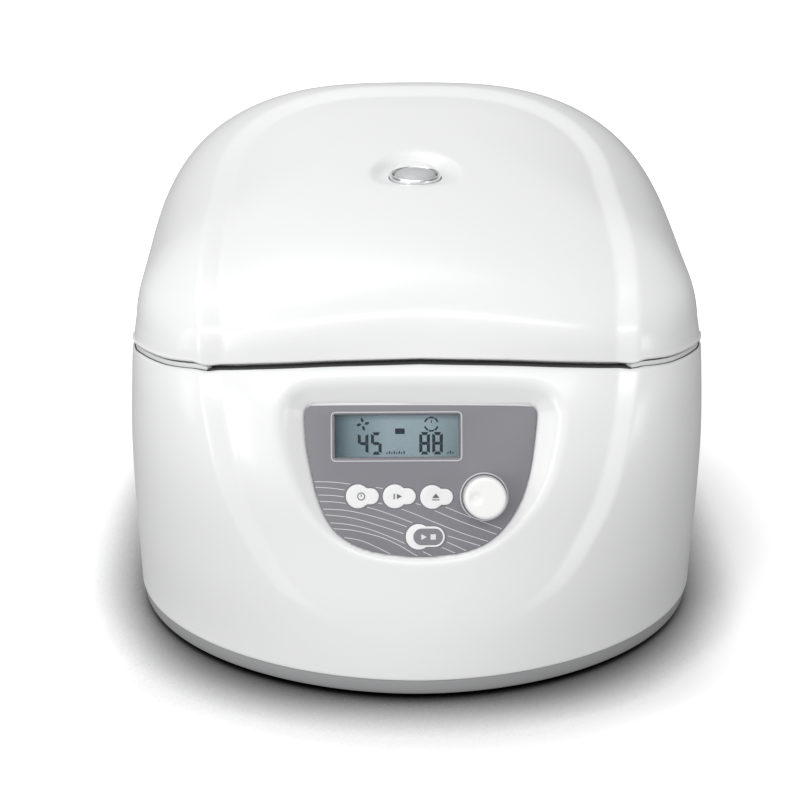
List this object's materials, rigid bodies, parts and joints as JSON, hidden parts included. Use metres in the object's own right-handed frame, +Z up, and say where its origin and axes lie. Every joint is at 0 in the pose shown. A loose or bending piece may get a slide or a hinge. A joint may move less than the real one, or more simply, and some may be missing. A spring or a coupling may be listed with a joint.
{
  "type": "benchtop laboratory centrifuge",
  "caption": "Benchtop laboratory centrifuge: domed hinged lid with a viewing window, angle rotor in a steel bowl, sloped control panel with display, keys and knob.",
  "frame": {"origin": "centre of the footprint, at the level the rubber feet stand on", "axes": "+Z up, +Y towards the rear (hinge side), +X to the right of someone facing the control panel"},
  "size_m": [0.3004, 0.365, 0.2433],
  "materials": {
    "white_shell": "smooth satin-gloss moulded plastic",
    "white_liner": "satin moulded plastic",
    "white_key": "satin keytop",
    "white_knob": "smooth gloss",
    "grey_base": "fine-textured moulded plastic",
    "grey_fascia": "satin overlay",
    "dark_plate": "powder coat",
    "silver_trim": "bright",
    "display_glass": "clear, over a grey-green display",
    "clear_window": "clear",
    "plain_steel": "zinc plated",
    "bright_steel": "ground",
    "spring_steel": "oiled wire",
    "black_plastic": "fine grain",
    "black_gloss": "gloss",
    "black_rubber": "matt",
    "bowl_steel": "spun stainless",
    "rotor_polymer": "fine satin",
    "magnet": "plated",
    "motor_can": "turned",
    "copper_winding": "enamelled copper wire",
    "brass_contact": "plated",
    "circuit_board": "solder mask",
    "black_aluminium": "anodised"
  },
  "bodies": {
    "chassis": {"upper_housing": "white_shell", "base_tray": "grey_base", "rear_plate": "dark_plate", "control_fascia": "grey_fascia", "display_bezel": "silver_trim", "display_pane": "display_glass", "knob_collar": "silver_trim", "control_board": "circuit_board", "hinge_bracket": "plain_steel", "hinge_pin": "bright_steel", "hinge_spring": "spring_steel", "lock_body_left": "black_plastic", "lock_body_right": "black_plastic", "chamber_bowl": "bowl_steel", "chamber_gasket": "black_rubber", "guard_ring": "plain_steel", "motor_can": "motor_can", "motor_end_cap": "motor_can", "motor_stator": "copper_winding", "bearing_upper": "bright_steel", "bearing_lower": "bright_steel", "motor_plate": "plain_steel", "damper_1": "black_rubber", "damper_2": "black_rubber", "damper_3": "black_rubber", "power_inlet": "black_plastic", "inlet_contacts": "brass_contact", "switch_frame": "black_plastic", "power_board": "circuit_board", "heat_sink": "black_aluminium", "foot_1": "black_rubber", "foot_2": "black_rubber", "foot_3": "black_rubber", "foot_4": "black_rubber"},
    "lid": {"lid_shell": "white_shell", "lid_liner": "white_liner", "lid_seal": "black_rubber", "window_ring": "silver_trim", "window_lens": "clear_window", "lid_hook_left": "plain_steel", "lid_hook_right": "plain_steel", "lid_arm_left": "white_liner", "lid_arm_right": "white_liner"},
    "rotor": {"rotor_body": "rotor_polymer", "rotor_nut": "bright_steel", "motor_shaft": "bright_steel", "rotor_magnet": "magnet"},
    "knob": {"control_knob": "white_knob", "encoder_shaft": "plain_steel"},
    "mode_key": {"key_mode": "white_key"},
    "pulse_key": {"key_pulse": "white_key"},
    "lid_key": {"key_lid": "white_key"},
    "run_key": {"key_run": "white_key"},
    "bolt_left": {"lock_bolt_left": "bright_steel"},
    "bolt_right": {"lock_bolt_right": "bright_steel"},
    "rocker": {"power_rocker": "black_gloss"},
    "fuse_tray": {"fuse_drawer": "black_plastic"},
    "release": {"release_pull": "bright_steel"}
  },
  "joints": [
    {"name": "lid_hinge", "type": "hinge", "parent": "chassis", "child": "lid", "pos_m": [0, 0.168, 0.148], "axis": [-1, 0, 0], "range_deg": [0, 75]},
    {"name": "rotor_spin", "type": "hinge", "parent": "chassis", "child": "rotor", "pos_m": [0, -0.012, 0.1], "axis": [0, 0, 1], "continuous": true},
    {"name": "knob_turn", "type": "hinge", "parent": "chassis", "child": "knob", "pos_m": [0.0312, -0.16099, 0.10278], "axis": [0, -0.9272, 0.3746], "continuous": true},
    {"name": "mode_key_press", "type": "slide", "parent": "chassis", "child": "mode_key", "axis": [0, 0.9272, -0.3746], "range_m": [0, 0.0008]},
    {"name": "pulse_key_press", "type": "slide", "parent": "chassis", "child": "pulse_key", "axis": [0, 0.9272, -0.3746], "range_m": [0, 0.0008]},
    {"name": "lid_key_press", "type": "slide", "parent": "chassis", "child": "lid_key", "axis": [0, 0.9272, -0.3746], "range_m": [0, 0.0008]},
    {"name": "run_key_press", "type": "slide", "parent": "chassis", "child": "run_key", "axis": [0, 0.9272, -0.3746], "range_m": [0, 0.0008]},
    {"name": "bolt_left_slide", "type": "slide", "parent": "chassis", "child": "bolt_left", "axis": [0, 1, 0], "range_m": [0, 0.0085]},
    {"name": "bolt_right_slide", "type": "slide", "parent": "chassis", "child": "bolt_right", "axis": [0, 1, 0], "range_m": [0, 0.0085]},
    {"name": "rocker_tilt", "type": "hinge", "parent": "chassis", "child": "rocker", "pos_m": [-0.012, 0.1761, 0.0585], "axis": [1, 0, 0], "range_deg": [-22, 0]},
    {"name": "fuse_drawer_slide", "type": "slide", "parent": "chassis", "child": "fuse_tray", "axis": [0, 1, 0], "range_m": [0, 0.015]},
    {"name": "release_pull_slide", "type": "slide", "parent": "chassis", "child": "release", "axis": [0, 1, 0], "range_m": [0, 0.008]}
  ],
  "couplings": [
    {"joint": "bolt_right_slide", "follows": "bolt_left_slide", "ratio": 1}
  ]
}
